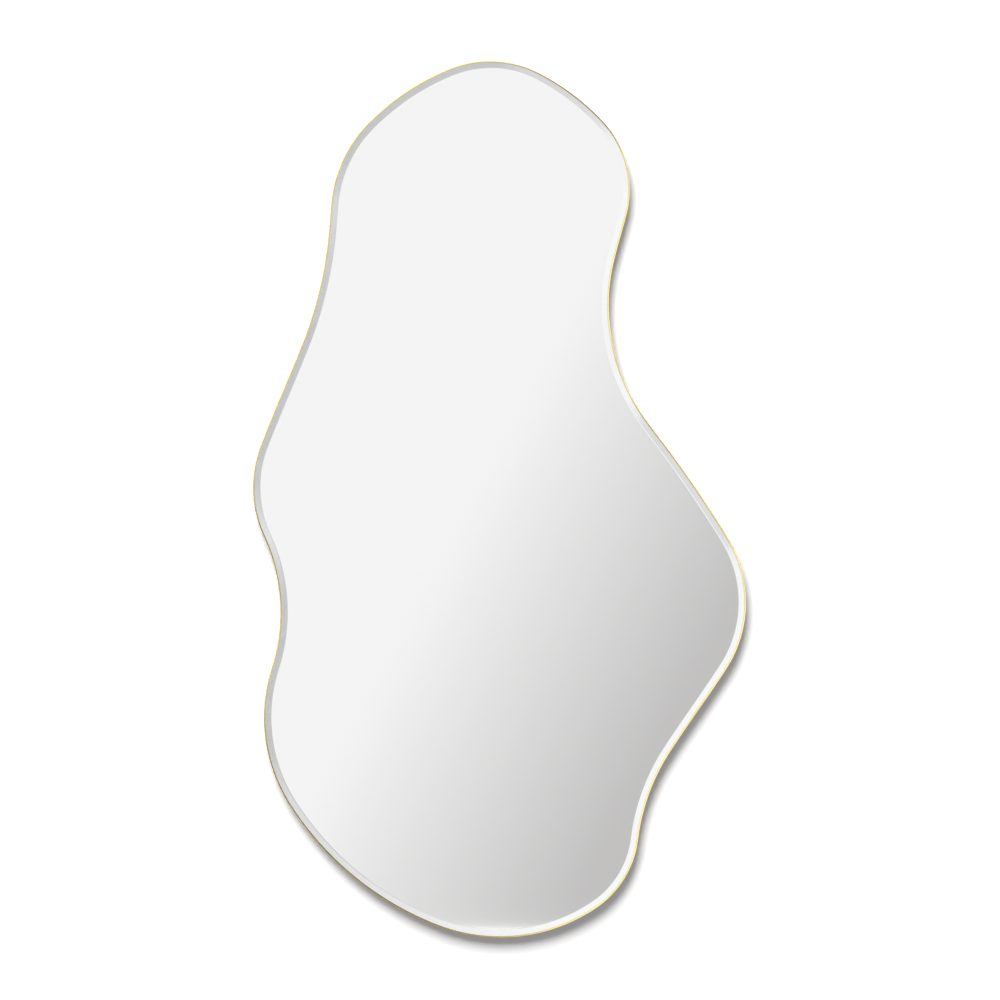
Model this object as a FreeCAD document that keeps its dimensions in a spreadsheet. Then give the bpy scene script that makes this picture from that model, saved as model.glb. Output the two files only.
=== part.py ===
"""Wall mirror with a free-form outline, 450 mm wide and 800 mm tall.

A bevelled pane of 4 mm glass lies in a thin metal frame of L section, which is bent from
two lengths and joined at the crown and at the base. Behind the pane come its silvered and
filmed back, double-sided tape and adhesive, and a 9 mm backing board. Board screws hold
the frame's flange to the board, which carries two strap hangers with D rings and four
wall pads.

The frame of reference is +Z up and the wall behind, so the pane faces -Y. The origin is
the middle of the mirror's box. Sizes are in millimetres and degrees.
"""

import FreeCAD, Part
import cmath
import math
import os
from dataclasses import dataclass

import Sketcher

# ---------------------------------------------------------------- driving sizes

SIZES = {
    # Outline of the frame, anticlockwise as seen from the front, from the crown.
    # A lobe is a circle with a place; a hollow bends the other way and is placed by the
    # lengths or angles of the flanks that join it to the lobes on either side.
    "crown_x": -9, "crown_z": 303, "crown_radius": 97,
    "left_brow_radius": 220,
    "left_shoulder_x": -36, "left_shoulder_z": 260, "left_shoulder_radius": 118,
    "side_top_length": 21, "side_radius": 375, "side_bottom_length": 91,
    "elbow_x": -117, "elbow_z": 11, "elbow_radius": 108,
    "waist_radius": 165,
    "foot_x": -66, "foot_z": -199, "foot_radius": 149,
    "belly_radius": 280,
    "base_x": 0, "base_z": -242, "base_radius": 158,
    "heel_radius": 88, "heel_angle": 49,
    "instep_radius": 190,
    "thigh_length": 85,
    "hip_x": 113, "hip_z": -94, "hip_radius": 112,
    "back_radius": 1100, "back_angle": 6.5,
    "neck_radius": 179,
    "nape_length": 36,
    "right_shoulder_x": 29, "right_shoulder_z": 283, "right_shoulder_radius": 90,
    "right_brow_radius": 210,
    # Layers, from the wall to the front.
    "wall_gap": 5, "flange_thickness": 1.2, "board_thickness": 9, "tape_thickness": 0.8,
    "film_thickness": 0.2, "glass_thickness": 4,
    # Pane.
    "bevel_width": 5, "bevel_drop": 1.5, "glass_clearance": 0.35,
    # Frame.
    "strip_thickness": 1.2, "strip_lip": 0.3, "flange_width": 12,
    "joint_gap": 0.3, "crown_joint_angle": 81, "base_joint_angle": 262,
    "splice_length": 50, "splice_width": 8, "splice_thickness": 1.5,
    # Board, tape and adhesive.
    "board_clearance": 0.4, "tape_width": 25, "tape_margin": 22, "tape_pitch": 72,
    "tape_middle": -17, "dab_radius": 12, "dab_pitch": 105,
    # Screws.
    "shank_radius": 1.45, "screw_length": 9, "head_radius": 2.8, "head_height": 1.9,
    "hole_clearance": 0.15, "pilot_clearance": 0.05, "pilot_depth": 8.4,
    "board_screws": 6, "splice_screw_start": 8, "splice_screw_step": 10,
    # Hangers.
    "hanger_left_x": -87, "hanger_right_x": 53, "hanger_z": 190,
    "wire_radius": 1.5, "wire_clearance": 0.06, "strap_thickness": 1, "strap_width": 14,
    "strap_length": 33, "fold_length": 12.5, "strap_rounding": 5,
    "hanger_screw_start": 8.5, "hanger_screw_step": 18,
    "ring_width": 23, "ring_height": 18, "ring_corner": 3,
    # Wall pads.
    "pad_radius": 7, "pad_inset": 34,
}

# Small round pieces, and the holes for them, are drawn as prisms with few sides.
TAPE_COLUMNS, HEAD_SIDES, SHANK_SIDES, WIRE_SIDES, DAB_SIDES = 5, 12, 8, 8, 12

# Bends of the outline and, between them, what joins them.
CHAIN = (
    "crown", "left_brow", "left_shoulder", "side_top", "side", "side_bottom", "elbow",
    "waist", "foot", "belly", "base", "heel", "instep", "thigh", "hip", "back", "neck",
    "nape", "right_shoulder", "right_brow",
)
HOLLOWS = ("side", "waist", "instep", "neck")

# Layers from the wall to the front, and the levels between them.
STACK = (
    "wall_gap", "flange_thickness", "board_thickness", "tape_thickness", "film_thickness",
    "glass_thickness",
)
WALL, FLANGE_BACK, BOARD_BACK, TAPE_BACK, FILM_BACK, GLASS_BACK, FRONT = range(7)

LEFT, RIGHT = "left", "right"
FULL_TURN = 2 * math.pi

doc = FreeCAD.newDocument("free_form_mirror")
sheet = doc.addObject("Spreadsheet::Sheet", "Sizes")
for row, (alias, number) in enumerate(SIZES.items(), start=1):
    sheet.set(f"A{row}", alias)
    sheet.set(f"B{row}", str(number))
    sheet.setAlias(f"B{row}", alias)
doc.recompute()


def named(*aliases):
    """The sum of the named sizes as an expression; a minus before a name subtracts it."""
    terms = [f"- Sizes.{a[1:]}" if a[0] == "-" else f"+ Sizes.{a}" for a in aliases]
    return " ".join(["0"] + terms)


def value(expression):
    """The number that an expression on the sheet gives."""
    return float(sheet.evalExpression(expression))


def size(alias):
    """The number of one named size."""
    return value(f"Sizes.{alias}")


def level(count):
    """How far the front of the first layers lies before the middle of the whole depth."""
    return f"{named(*STACK[:count])} - ({named(*STACK)}) / 2"


# ---------------------------------------------------------------- the outline


@dataclass
class Bend:
    """An arc of the outline, or a straight with an infinite radius.

    The radius is positive where the outline bulges and negative in a hollow. Start and
    end are the directions of the outward normal at its two ends, in radians.
    """

    name: str
    centre: complex
    radius: float
    start: float = 0.0
    end: float = 0.0

    @property
    def is_straight(self):
        """Whether this is a straight."""
        return math.isinf(self.radius)

    def point(self, normal, inset):
        """The point with this outward normal, on the outline moved inwards."""
        return self.centre + cmath.rect(self.radius - inset, normal)

    def part(self, start, end):
        """The stretch of this arc between two directions of the normal."""
        return Bend(self.name, self.centre, self.radius, start, end)


def meeting_point(a, reach_a, b, reach_b, side):
    """The point at two distances from a and b, left (1) or right (-1) of a to b."""
    gap = b - a
    along = (reach_a**2 - reach_b**2 + abs(gap) ** 2) / (2 * abs(gap))
    across = side * math.sqrt(reach_a**2 - along**2)
    return a + complex(along, across) * gap / abs(gap)


def hollow_distance(lobe, hollow_radius, flank):
    """How far the centres of a lobe and of a hollow lie apart, with this flank between."""
    if f"{flank}_length" in SIZES:
        return math.hypot(size(f"{flank}_length"), lobe.radius + hollow_radius)
    bow = size(f"{flank}_radius")
    angle = math.radians(size(f"{flank}_angle"))
    return abs((bow - lobe.radius) - cmath.rect(bow + hollow_radius, angle))


def rounds():
    """The lobes, at their places, and the hollows that their flanks place."""
    found = {}
    for name in CHAIN[::2]:
        if f"{name}_x" in SIZES:
            centre = complex(size(f"{name}_x"), size(f"{name}_z"))
            found[name] = Bend(name, centre, size(f"{name}_radius"))
    for place, name in enumerate(CHAIN):
        if place % 2 or name in found:
            continue
        before = found[CHAIN[place - 2]]
        after = found[CHAIN[(place + 2) % len(CHAIN)]]
        radius = size(f"{name}_radius")
        centre = meeting_point(
            before.centre, hollow_distance(before, radius, CHAIN[place - 1]),
            after.centre, hollow_distance(after, radius, CHAIN[place + 1]), -1,
        )
        found[name] = Bend(name, centre, -radius)
    return [found[name] for name in CHAIN[::2]]


def turned(start, end, radius):
    """The end direction, counted on from the start the way that the bend turns."""
    way = math.copysign(1, radius)
    return start + way * (((end - start) * way) % FULL_TURN)


def link(name, a, b):
    """The straight or arc that touches bends a and b and joins them."""
    if f"{name}_length" in SIZES:
        gap = b.centre - a.centre
        normal = cmath.phase(gap) - math.acos((a.radius - b.radius) / abs(gap))
        return Bend(name, 0j, math.inf, normal, normal)
    radius = size(f"{name}_radius") * (-1 if name in HOLLOWS else 1)
    choices = []
    for side in (1, -1):
        centre = meeting_point(
            a.centre, abs(radius - a.radius), b.centre, abs(radius - b.radius), side
        )
        start = cmath.phase((a.centre - centre) / (radius - a.radius))
        end = cmath.phase((b.centre - centre) / (radius - b.radius))
        choices.append(Bend(name, centre, radius, start, turned(start, end, radius)))
    return min(choices, key=lambda bend: abs(bend.end - bend.start))


def outline():
    """All bends of the closed outline, in order, each touching the next."""
    bends = rounds()
    links = [link(CHAIN[2 * i + 1], a, bends[i + 1 - len(bends)]) for i, a in enumerate(bends)]
    for i, bend in enumerate(bends):
        bend.start = links[i - 1].end
        bend.end = turned(bend.start, links[i].start, bend.radius)
    return [piece for pair in zip(bends, links) for piece in pair]


def halves(bends):
    """The outline's left and right runs, cut at the frame's joints in crown and base."""
    names = [bend.name for bend in bends]
    crown, base = bends[0], bends[names.index("base")]
    crown_cut = turned(crown.start, math.radians(size("crown_joint_angle")), 1)
    base_cut = turned(base.start, math.radians(size("base_joint_angle")), 1)
    crown_gap = size("joint_gap") / 2 / crown.radius
    base_gap = size("joint_gap") / 2 / base.radius
    middle = names.index("base")
    left = [crown.part(crown_cut + crown_gap, crown.end)] + bends[1:middle]
    left.append(base.part(base.start, base_cut - base_gap))
    right = [base.part(base_cut + base_gap, base.end)] + bends[middle + 1:]
    right.append(crown.part(crown.start, crown_cut - crown_gap))
    return {LEFT: left, RIGHT: right}


OUTLINE = outline()
HALVES = halves(OUTLINE)
BEND = {bend.name: bend for bend in OUTLINE}


def run_points(run, inset):
    """The start and end of each bend of a run that is moved inwards."""
    ends = []
    for place, bend in enumerate(run):
        if bend.is_straight:
            before, after = run[place - 1], run[(place + 1) % len(run)]
            ends.append((before.point(before.end, inset), after.point(after.start, inset)))
        else:
            ends.append((bend.point(bend.start, inset), bend.point(bend.end, inset)))
    return ends


def point_along(run, inset, share):
    """The point at a share of the length of a run that is moved inwards."""
    ends = run_points(run, inset)
    lengths = [
        abs(end - start) if bend.is_straight
        else abs((bend.radius - inset) * (bend.end - bend.start))
        for bend, (start, end) in zip(run, ends)
    ]
    left_over = share * sum(lengths)
    for bend, (start, end), length in zip(run, ends, lengths):
        if left_over <= length:
            break
        left_over -= length
    if bend.is_straight:
        return start + (end - start) * left_over / length
    return bend.point(bend.start + (bend.end - bend.start) * left_over / length, inset)


def crossings(x, inset):
    """The heights at which the outline, moved inwards, crosses an upright line."""
    heights = []
    for bend, (start, end) in zip(OUTLINE, run_points(OUTLINE, inset)):
        if bend.is_straight:
            share = (x - start.real) / (end.real - start.real)
            if 0 <= share <= 1:
                heights.append((start + (end - start) * share).imag)
            continue
        cosine = (x - bend.centre.real) / (bend.radius - inset)
        if abs(cosine) > 1:
            continue
        low, high = sorted((bend.start, bend.end))
        for normal in (math.acos(cosine), -math.acos(cosine)):
            if (normal - low) % FULL_TURN <= high - low:
                heights.append(bend.point(normal, inset).imag)
    return heights


# ---------------------------------------------------------------- sketches and features


def vector(point):
    """A point of the outline's plane as a sketch takes it."""
    return FreeCAD.Vector(point.real, point.imag, 0)


def new_body(name):
    """A body whose label names its piece."""
    body = doc.addObject("PartDesign::Body", name)
    body.Label = name
    return body


def new_sketch(body, plane, offset):
    """A sketch on one of the body's own planes, moved along its normal."""
    sketch = body.newObject("Sketcher::SketchObject", f"{body.Name}_sketch")
    roles = {feature.Role: feature for feature in body.Origin.OriginFeatures}
    sketch.AttachmentSupport = [(roles[plane], "")]
    sketch.MapMode = "FlatFace"
    sketch.setExpression("AttachmentOffset.Base.z", offset)
    return sketch


def front_sketch(body, offset):
    """A sketch that faces the viewer, in front of the middle of the depth by the offset."""
    return new_sketch(body, "XZ_Plane", offset)


def grow(body, sketch, length):
    """A pad of the sketch along its normal."""
    pad = body.newObject("PartDesign::Pad", f"{body.Name}_pad")
    pad.Profile = sketch
    pad.setExpression("Length", length)
    doc.recompute()
    return pad


def cut(body, sketch, length):
    """A pocket of the sketch along its normal, which has to take material away."""
    before = body.Shape.Volume
    pocket = body.newObject("PartDesign::Pocket", f"{body.Name}_pocket")
    pocket.Profile = sketch
    pocket.Reversed = True
    pocket.setExpression("Length", length)
    doc.recompute()
    if not body.Shape.Volume < before:
        raise RuntimeError(f"{pocket.Name} cuts nothing")
    return pocket


def add_circle(sketch, centre, radius):
    """A circle whose radius is an expression, held at a point."""
    circle = Part.Circle(vector(centre), FreeCAD.Vector(0, 0, 1), value(radius))
    place = sketch.addGeometry(circle, False)
    bind(sketch, "Radius", (place,), radius)
    hold(sketch, place, centre)


def hold(sketch, place, centre):
    """Keep the centre of a sketched circle or arc where it is."""
    sketch.addConstraint([
        Sketcher.Constraint("DistanceX", -1, 1, place, 3, centre.real),
        Sketcher.Constraint("DistanceY", -1, 1, place, 3, centre.imag),
    ])


def bind(sketch, kind, where, expression, radians=False):
    """A driving dimension of a sketch, tied to the sheet."""
    number = value(expression)
    number = math.radians(number) if radians else number
    place = sketch.addConstraint(Sketcher.Constraint(kind, *where, number))
    name = f"size_{place}"
    sketch.renameConstraint(place, name)
    sketch.setExpression(f"Constraints.{name}", expression)


def ring_of_corners(centre, radius, sides):
    """The corners of an upright regular polygon, evenly placed on a circle."""
    return [centre + cmath.rect(radius, (k + 0.5) * FULL_TURN / sides) for k in range(sides)]


def add_polygons(sketch, centres, radius, sides):
    """Regular polygons, held in place, whose corners lie on circles of this radius."""
    edges = []
    for centre in centres:
        corners = ring_of_corners(centre, value(radius), sides)
        edges += [
            Part.LineSegment(vector(a), vector(b))
            for a, b in zip(corners, corners[1:] + corners[:1])
        ]
    sketch.addGeometry(edges, False)
    joins = []
    for place in range(len(edges)):
        after = place + 1 if (place + 1) % sides else place + 1 - sides
        joins.append(Sketcher.Constraint("Coincident", place, 2, after, 1))
        joins.append(Sketcher.Constraint("Block", place))
    sketch.addConstraint(joins)


def draw_run(sketch, run, *inset):
    """Draw a run of bends, moved inwards by the named sizes, and tie it to the sheet.

    Returns the place of its first and last edge with their outer end numbers.
    """
    depth = value(named(*inset))
    first = sketch.GeometryCount
    edges, ends = [], []
    for bend, (start, end) in zip(run, run_points(run, depth)):
        if bend.is_straight:
            edges.append(Part.LineSegment(vector(start), vector(end)))
        else:
            circle = Part.Circle(
                vector(bend.centre), FreeCAD.Vector(0, 0, 1), abs(bend.radius - depth)
            )
            angles = (bend.start, bend.end)
            if bend.radius < 0:
                angles = (bend.end + math.pi, bend.start + math.pi)
            edges.append(Part.ArcOfCircle(circle, *angles))
        ends.append((2, 1) if bend.radius < 0 else (1, 2))
    sketch.addGeometry(edges, False)
    touching = [
        Sketcher.Constraint("Tangent", first + i, ends[i][1], first + i + 1, ends[i + 1][0])
        for i in range(len(run) - 1)
    ]
    if len(run) == len(OUTLINE):
        touching.append(Sketcher.Constraint("Tangent", first + len(run) - 1, ends[-1][1],
                                            first, ends[0][0]))
    sketch.addConstraint(touching)
    for place, bend in enumerate(run, start=first):
        if bend.is_straight:
            bind(sketch, "Distance", (place,), named(f"{bend.name}_length"))
            continue
        signed = inset if bend.radius < 0 else [f"-{name}" for name in inset]
        bind(sketch, "Radius", (place,), named(f"{bend.name}_radius", *signed))
        if f"{bend.name}_x" in SIZES:
            bind(sketch, "DistanceX", (-1, 1, place, 3), named(f"{bend.name}_x"))
            bind(sketch, "DistanceY", (-1, 1, place, 3), named(f"{bend.name}_z"))
        if f"{bend.name}_angle" in SIZES:
            bind(sketch, "Angle", (place,), named(f"{bend.name}_angle"), radians=True)
    return (first, ends[0][0]), (first + len(run) - 1, ends[-1][1])


def draw_band(sketch, run, inset):
    """Draw the closed strip between a run and the same run moved inwards.

    Its square ends point at the centres of the arcs that they cut.
    """
    outer = draw_run(sketch, run)
    inner = draw_run(sketch, run, inset)
    width = size(inset)
    for bend, normal, near, far in (
        (run[0], run[0].start, outer[0], inner[0]),
        (run[-1], run[-1].end, outer[1], inner[1]),
    ):
        ends = bend.point(normal, 0), bend.point(normal, width)
        place = sketch.addGeometry(Part.LineSegment(*map(vector, ends)), False)
        sketch.addConstraint([
            Sketcher.Constraint("Coincident", place, 1, *near),
            Sketcher.Constraint("Coincident", place, 2, *far),
            Sketcher.Constraint("PointOnObject", near[0], 3, place),
            Sketcher.Constraint("Angle", place, cmath.phase(ends[1] - ends[0])),
        ])


def pierce(body, offset, seats, depth, clearance="hole_clearance"):
    """Cut a hole for a screw's shank at each seat, forwards from the offset's plane."""
    holes = front_sketch(body, offset)
    add_polygons(holes, seats, named("shank_radius", clearance), SHANK_SIDES)
    cut(body, holes, depth)


def flat_face(feature, y):
    """The name of the feature's flat face that faces along Y at this place."""
    for place, face in enumerate(feature.Shape.Faces, start=1):
        flat = face.BoundBox.YLength < 1e-6 and abs(face.BoundBox.YMin - y) < 1e-6
        if flat:
            return f"Face{place}"
    raise RuntimeError(f"{feature.Name} has no flat face at y {y}")


# ---------------------------------------------------------------- fasteners


def screw_template():
    """A screw on the Z axis, its head's underside at the origin."""
    body = new_body("screw_template")
    head = new_sketch(body, "XY_Plane", "0")
    add_polygons(head, [0j], named("head_radius"), HEAD_SIDES)
    grow(body, head, named("head_height"))
    shank = new_sketch(body, "XY_Plane", "0 - Sizes.screw_length")
    add_polygons(shank, [0j], named("shank_radius"), SHANK_SIDES)
    grow(body, shank, named("screw_length"))
    return body


SCREW = screw_template()
HEAD_TO_WALL = FreeCAD.Rotation(FreeCAD.Vector(1, 0, 0), -90)


def screw_group(name, seats):
    """One node of equal screws, each with its head's underside on a seat."""
    copies = []
    for point, depth in seats:
        copy = SCREW.Shape.copy()
        place = FreeCAD.Vector(point.real, -depth, point.imag)
        copy.Placement = FreeCAD.Placement(place, HEAD_TO_WALL)
        copies.append(copy)
    group = doc.addObject("Part::Feature", name)
    group.Shape = Part.makeCompound(copies)
    return group


def splice_angles(bend, joint):
    """Where a splice plate's screws sit, as directions from the centre of its arc."""
    reach = [size("splice_screw_start") + size("splice_screw_step") * k for k in (0, 1)]
    middle = bend.radius - size("flange_width") / 2
    return sorted(joint + way * step / middle for way in (-1, 1) for step in reach)


def flange_seats(side):
    """Where the board screws of one half of the frame sit."""
    count = int(size("board_screws"))
    inset = (size("flange_width") + size("strip_thickness")) / 2
    return [point_along(HALVES[side], inset, (k + 0.5) / count) for k in range(count)]


def splice_seats(bend, joint):
    """Where the screws of one splice plate sit."""
    inset = (size("flange_width") + size("strip_thickness")) / 2
    return [bend.point(angle, inset) for angle in splice_angles(bend, joint)]


def hanger_seats(x):
    """Where the screws of one hanger sit, the upper one first."""
    drops = [size("hanger_screw_start") + size("hanger_screw_step") * k for k in (0, 1)]
    return [complex(x, size("hanger_z") - drop) for drop in drops]


SPLICES = {
    "top": (BEND["crown"], math.radians(size("crown_joint_angle"))),
    "bottom": (BEND["base"], math.radians(size("base_joint_angle"))),
}
# The halves that a splice plate's screws pass through, in the order of the outline.
SPLICE_SIDES = {"top": (RIGHT, RIGHT, LEFT, LEFT), "bottom": (LEFT, LEFT, RIGHT, RIGHT)}
FLANGE_SEATS = {side: flange_seats(side) for side in (LEFT, RIGHT)}
SPLICE_SEATS = {end: splice_seats(*SPLICES[end]) for end in SPLICES}
HANGER_X = {side: size(f"hanger_{side}_x") for side in (LEFT, RIGHT)}
HANGER_SEATS = {side: hanger_seats(HANGER_X[side]) for side in (LEFT, RIGHT)}


# ---------------------------------------------------------------- frame


def frame_half(side):
    """One half of the frame: a bent strip with a flange behind the board."""
    body = new_body(f"frame_{side}")
    strip = front_sketch(body, level(FLANGE_BACK))
    draw_band(strip, HALVES[side], "strip_thickness")
    grow(body, strip, named(*STACK[1:], "strip_lip", "-bevel_drop"))
    flange = front_sketch(body, level(FLANGE_BACK))
    draw_band(flange, HALVES[side], "flange_width")
    grow(body, flange, named("flange_thickness"))
    seats = list(FLANGE_SEATS[side])
    for end, sides in SPLICE_SIDES.items():
        seats += [seat for seat, owner in zip(SPLICE_SEATS[end], sides) if owner == side]
    pierce(body, level(FLANGE_BACK), seats, named("flange_thickness"))
    return body


def splice_plate(end):
    """A plate behind the flanges that joins the halves of the frame."""
    bend, joint = SPLICES[end]
    body = new_body(f"splice_plate_{end}")
    sketch = front_sketch(body, f"{level(FLANGE_BACK)} - Sizes.splice_thickness")
    middle = bend.radius - (size("flange_width") + size("strip_thickness")) / 2
    half = size("splice_length") / 2 / middle
    radii = middle + size("splice_width") / 2, middle - size("splice_width") / 2
    arcs = [
        Part.ArcOfCircle(
            Part.Circle(vector(bend.centre), FreeCAD.Vector(0, 0, 1), radius),
            joint - half, joint + half,
        )
        for radius in radii
    ]
    ends = [
        Part.LineSegment(*(vector(bend.centre + cmath.rect(radius, angle)) for radius in radii))
        for angle in (joint - half, joint + half)
    ]
    sketch.addGeometry(arcs + ends, False)
    sketch.addConstraint([
        Sketcher.Constraint("Coincident", 0, 1, 2, 1),
        Sketcher.Constraint("Coincident", 2, 2, 1, 1),
        Sketcher.Constraint("Coincident", 0, 2, 3, 1),
        Sketcher.Constraint("Coincident", 3, 2, 1, 2),
    ])
    grow(body, sketch, named("splice_thickness"))
    back = f"{level(FLANGE_BACK)} - Sizes.splice_thickness"
    pierce(body, back, SPLICE_SEATS[end], named("splice_thickness"))
    return body


# ---------------------------------------------------------------- board, tape and glass


def sheet_piece(name, back, thickness, *inset):
    """A flat piece with the outline's form, moved inwards by the named sizes."""
    body = new_body(name)
    sketch = front_sketch(body, level(back))
    draw_run(sketch, OUTLINE, *inset)
    grow(body, sketch, named(thickness))
    return body


def backing_board():
    """The board that everything is screwed and stuck to, with its pilot holes."""
    body = sheet_piece(
        "backing_board", BOARD_BACK, "board_thickness", "strip_thickness", "board_clearance"
    )
    groups = (FLANGE_SEATS, SPLICE_SEATS, HANGER_SEATS)
    seats = [seat for group in groups for part in group.values() for seat in part]
    pierce(body, level(BOARD_BACK), seats, named("pilot_depth"), "pilot_clearance")
    return body


def mirror_pane():
    """The glass, with its bevel all round."""
    body = sheet_piece(
        "mirror_pane", GLASS_BACK, "glass_thickness", "strip_thickness", "glass_clearance"
    )
    slab = body.Tip
    bevel = body.newObject("PartDesign::Chamfer", "bevel")
    bevel.Base = (slab, [flat_face(slab, -value(level(FRONT)))])
    bevel.ChamferType = "Two distances"
    bevel.setExpression("Size", named("bevel_drop"))
    bevel.setExpression("Size2", named("bevel_width"))
    doc.recompute()
    return body


def inside(x, inset):
    """The longest upright stretch at x that lies inside the outline, moved inwards."""
    heights = sorted(crossings(x, inset))
    return max(zip(heights[::2], heights[1::2]), key=lambda ends: ends[1] - ends[0])


def tape_columns():
    """The left edge, foot and top of each strip of tape, from left to right."""
    width, margin = size("tape_width"), size("tape_margin")
    columns = []
    for step in range(TAPE_COLUMNS):
        middle = size("tape_middle") + (step - (TAPE_COLUMNS - 1) / 2) * size("tape_pitch")
        ends = [inside(middle + shift, margin) for shift in (-width / 2, 0, width / 2)]
        columns.append((middle - width / 2, max(e[0] for e in ends), min(e[1] for e in ends)))
    return columns


def mounting_tape(number, column):
    """One strip of double-sided tape between the board and the pane's film."""
    left, foot, top = column
    tape = doc.addObject("Part::Box", f"mounting_tape_{number}")
    tape.setExpression("Length", named("tape_width"))
    tape.setExpression("Width", named("tape_thickness"))
    tape.Height = top - foot
    tape.Placement.Base = FreeCAD.Vector(left, 0, foot)
    tape.setExpression("Placement.Base.y", f"0 - ({level(FILM_BACK)})")
    return tape


def adhesive_dabs(columns):
    """Round dabs of adhesive in the lanes between the strips of tape."""
    radius, pitch = size("dab_radius"), size("dab_pitch")
    depth = value(level(FILM_BACK))
    dabs = []
    for column, after in zip(columns, columns[1:]):
        lane = (column[0] + size("tape_width") + after[0]) / 2
        foot, top = max(column[1], after[1]), min(column[2], after[2])
        count = int((top - foot) // pitch)
        for k in range(count):
            height = (foot + top) / 2 + (k - (count - 1) / 2) * pitch
            corners = [
                FreeCAD.Vector(corner.real, -depth, corner.imag)
                for corner in ring_of_corners(complex(lane, height), radius, DAB_SIDES)
            ]
            spot = Part.Face(Part.makePolygon(corners + corners[:1]))
            dabs.append(spot.extrude(FreeCAD.Vector(0, size("tape_thickness"), 0)))
    group = doc.addObject("Part::Feature", "adhesive_dabs")
    group.Shape = Part.makeCompound(dabs)
    return group


# ---------------------------------------------------------------- hangers and pads


def hanger_axis_depth():
    """How far the rings' axes lie before the middle of the depth, as an expression."""
    loop = named("wire_radius", "wire_clearance", "strap_thickness")
    return f"{level(BOARD_BACK)} - ({loop})"


def place_hanger(body, side):
    """Put a hanger piece, drawn about the ring's axis, in its place."""
    body.setExpression("Placement.Base.x", named(f"hanger_{side}_x"))
    body.setExpression("Placement.Base.y", f"0 - ({HANGER_AXIS})")
    body.setExpression("Placement.Base.z", named("hanger_z"))
    doc.recompute()


def hanger_strap(side):
    """A steel strap folded round the ring's bar, with two screw holes."""
    body = new_body(f"hanger_strap_{side}")
    sketch = new_sketch(body, "YZ_Plane", "0 - Sizes.strap_width / 2")
    bore = size("wire_radius") + size("wire_clearance")
    sheet_metal = size("strap_thickness")
    loop = bore + sheet_metal
    fold = complex(2 * sheet_metal - loop, 0)
    fold_top = complex(fold.real, -math.sqrt(loop**2 - fold.real**2))
    corners = [
        fold_top,
        complex(fold.real, -size("fold_length")),
        complex(-bore, -size("fold_length")),
        complex(-bore, -size("strap_length")),
        complex(-loop, -size("strap_length")),
        complex(-loop, 0),
    ]
    sides = [Part.LineSegment(vector(a), vector(b)) for a, b in zip(corners, corners[1:])]
    circle = Part.Circle(FreeCAD.Vector(0, 0, 0), FreeCAD.Vector(0, 0, 1), loop)
    curl = Part.ArcOfCircle(circle, cmath.phase(fold_top), math.pi)
    sketch.addGeometry([curl] + sides, False)
    joins = [Sketcher.Constraint("Coincident", 0, 1, 1, 1)]
    joins += [Sketcher.Constraint("Coincident", i, 2, i + 1, 1) for i in range(1, len(sides))]
    joins.append(Sketcher.Constraint("Coincident", len(sides), 2, 0, 2))
    sketch.addConstraint(joins)
    add_circle(sketch, 0j, named("wire_radius", "wire_clearance"))
    plate = grow(body, sketch, named("strap_width"))
    corners_at_foot = [
        f"Edge{place}" for place, edge in enumerate(plate.Shape.Edges, start=1)
        if edge.BoundBox.ZMax < 1e-6 - size("strap_length") and edge.BoundBox.XLength < 1e-6
    ]
    rounding = body.newObject("PartDesign::Fillet", f"{body.Name}_rounding")
    rounding.Base = (plate, corners_at_foot)
    rounding.setExpression("Radius", named("strap_rounding"))
    doc.recompute()
    hinge = complex(HANGER_X[side], size("hanger_z"))
    seats = [seat - hinge for seat in HANGER_SEATS[side]]
    pierce(body, "0", seats, named("wire_radius", "wire_clearance", "strap_thickness"))
    place_hanger(body, side)
    return body


def hanger_ring(side):
    """A D ring of bent wire, drawn about the axis of its straight bar."""
    body = new_body(f"hanger_ring_{side}")
    half, corner = size("ring_width") / 2, size("ring_corner")
    shoulder = size("ring_height") - half
    turns = FreeCAD.Vector(0, 0, 1)

    def arc(centre, radius, start, end):
        return Part.ArcOfCircle(Part.Circle(vector(centre), turns, radius), start, end)

    path = new_sketch(body, "XZ_Plane", "0")
    path.addGeometry([
        Part.LineSegment(vector(complex(corner - half, 0)), vector(complex(half - corner, 0))),
        arc(complex(half - corner, corner), corner, 1.5 * math.pi, FULL_TURN),
        Part.LineSegment(vector(complex(half, corner)), vector(complex(half, shoulder))),
        arc(complex(0, shoulder), half, 0, math.pi),
        Part.LineSegment(vector(complex(-half, shoulder)), vector(complex(-half, corner))),
        arc(complex(corner - half, corner), corner, math.pi, 1.5 * math.pi),
    ], False)
    path.addConstraint([
        Sketcher.Constraint("Tangent", i, 2, (i + 1) % 6, 1) for i in range(6)
    ])
    section = new_sketch(body, "YZ_Plane", "0")
    add_polygons(section, [0j], named("wire_radius"), WIRE_SIDES)
    doc.recompute()
    pipe = body.newObject("PartDesign::AdditivePipe", f"{body.Name}_wire")
    pipe.Profile = section
    pipe.Spine = (path, [f"Edge{i}" for i in range(1, 7)])
    doc.recompute()
    place_hanger(body, side)
    return body


def wall_pad(name, spot):
    """A rubber pad on the back of the board that rests on the wall."""
    body = new_body(name)
    sketch = new_sketch(body, "XY_Plane", "0")
    add_circle(sketch, 0j, named("pad_radius"))
    grow(body, sketch, named("wall_gap", "flange_thickness"))
    place = FreeCAD.Vector(spot.real, -value(level(BOARD_BACK)), spot.imag)
    body.Placement = FreeCAD.Placement(place, HEAD_TO_WALL)
    doc.recompute()
    return body


def pad_spot(name):
    """Where a pad sits: behind the middle of a lobe, well inside the flange."""
    bend = BEND[name]
    return bend.point((bend.start + bend.end) / 2, size("pad_inset"))


# ---------------------------------------------------------------- assembly

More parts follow.
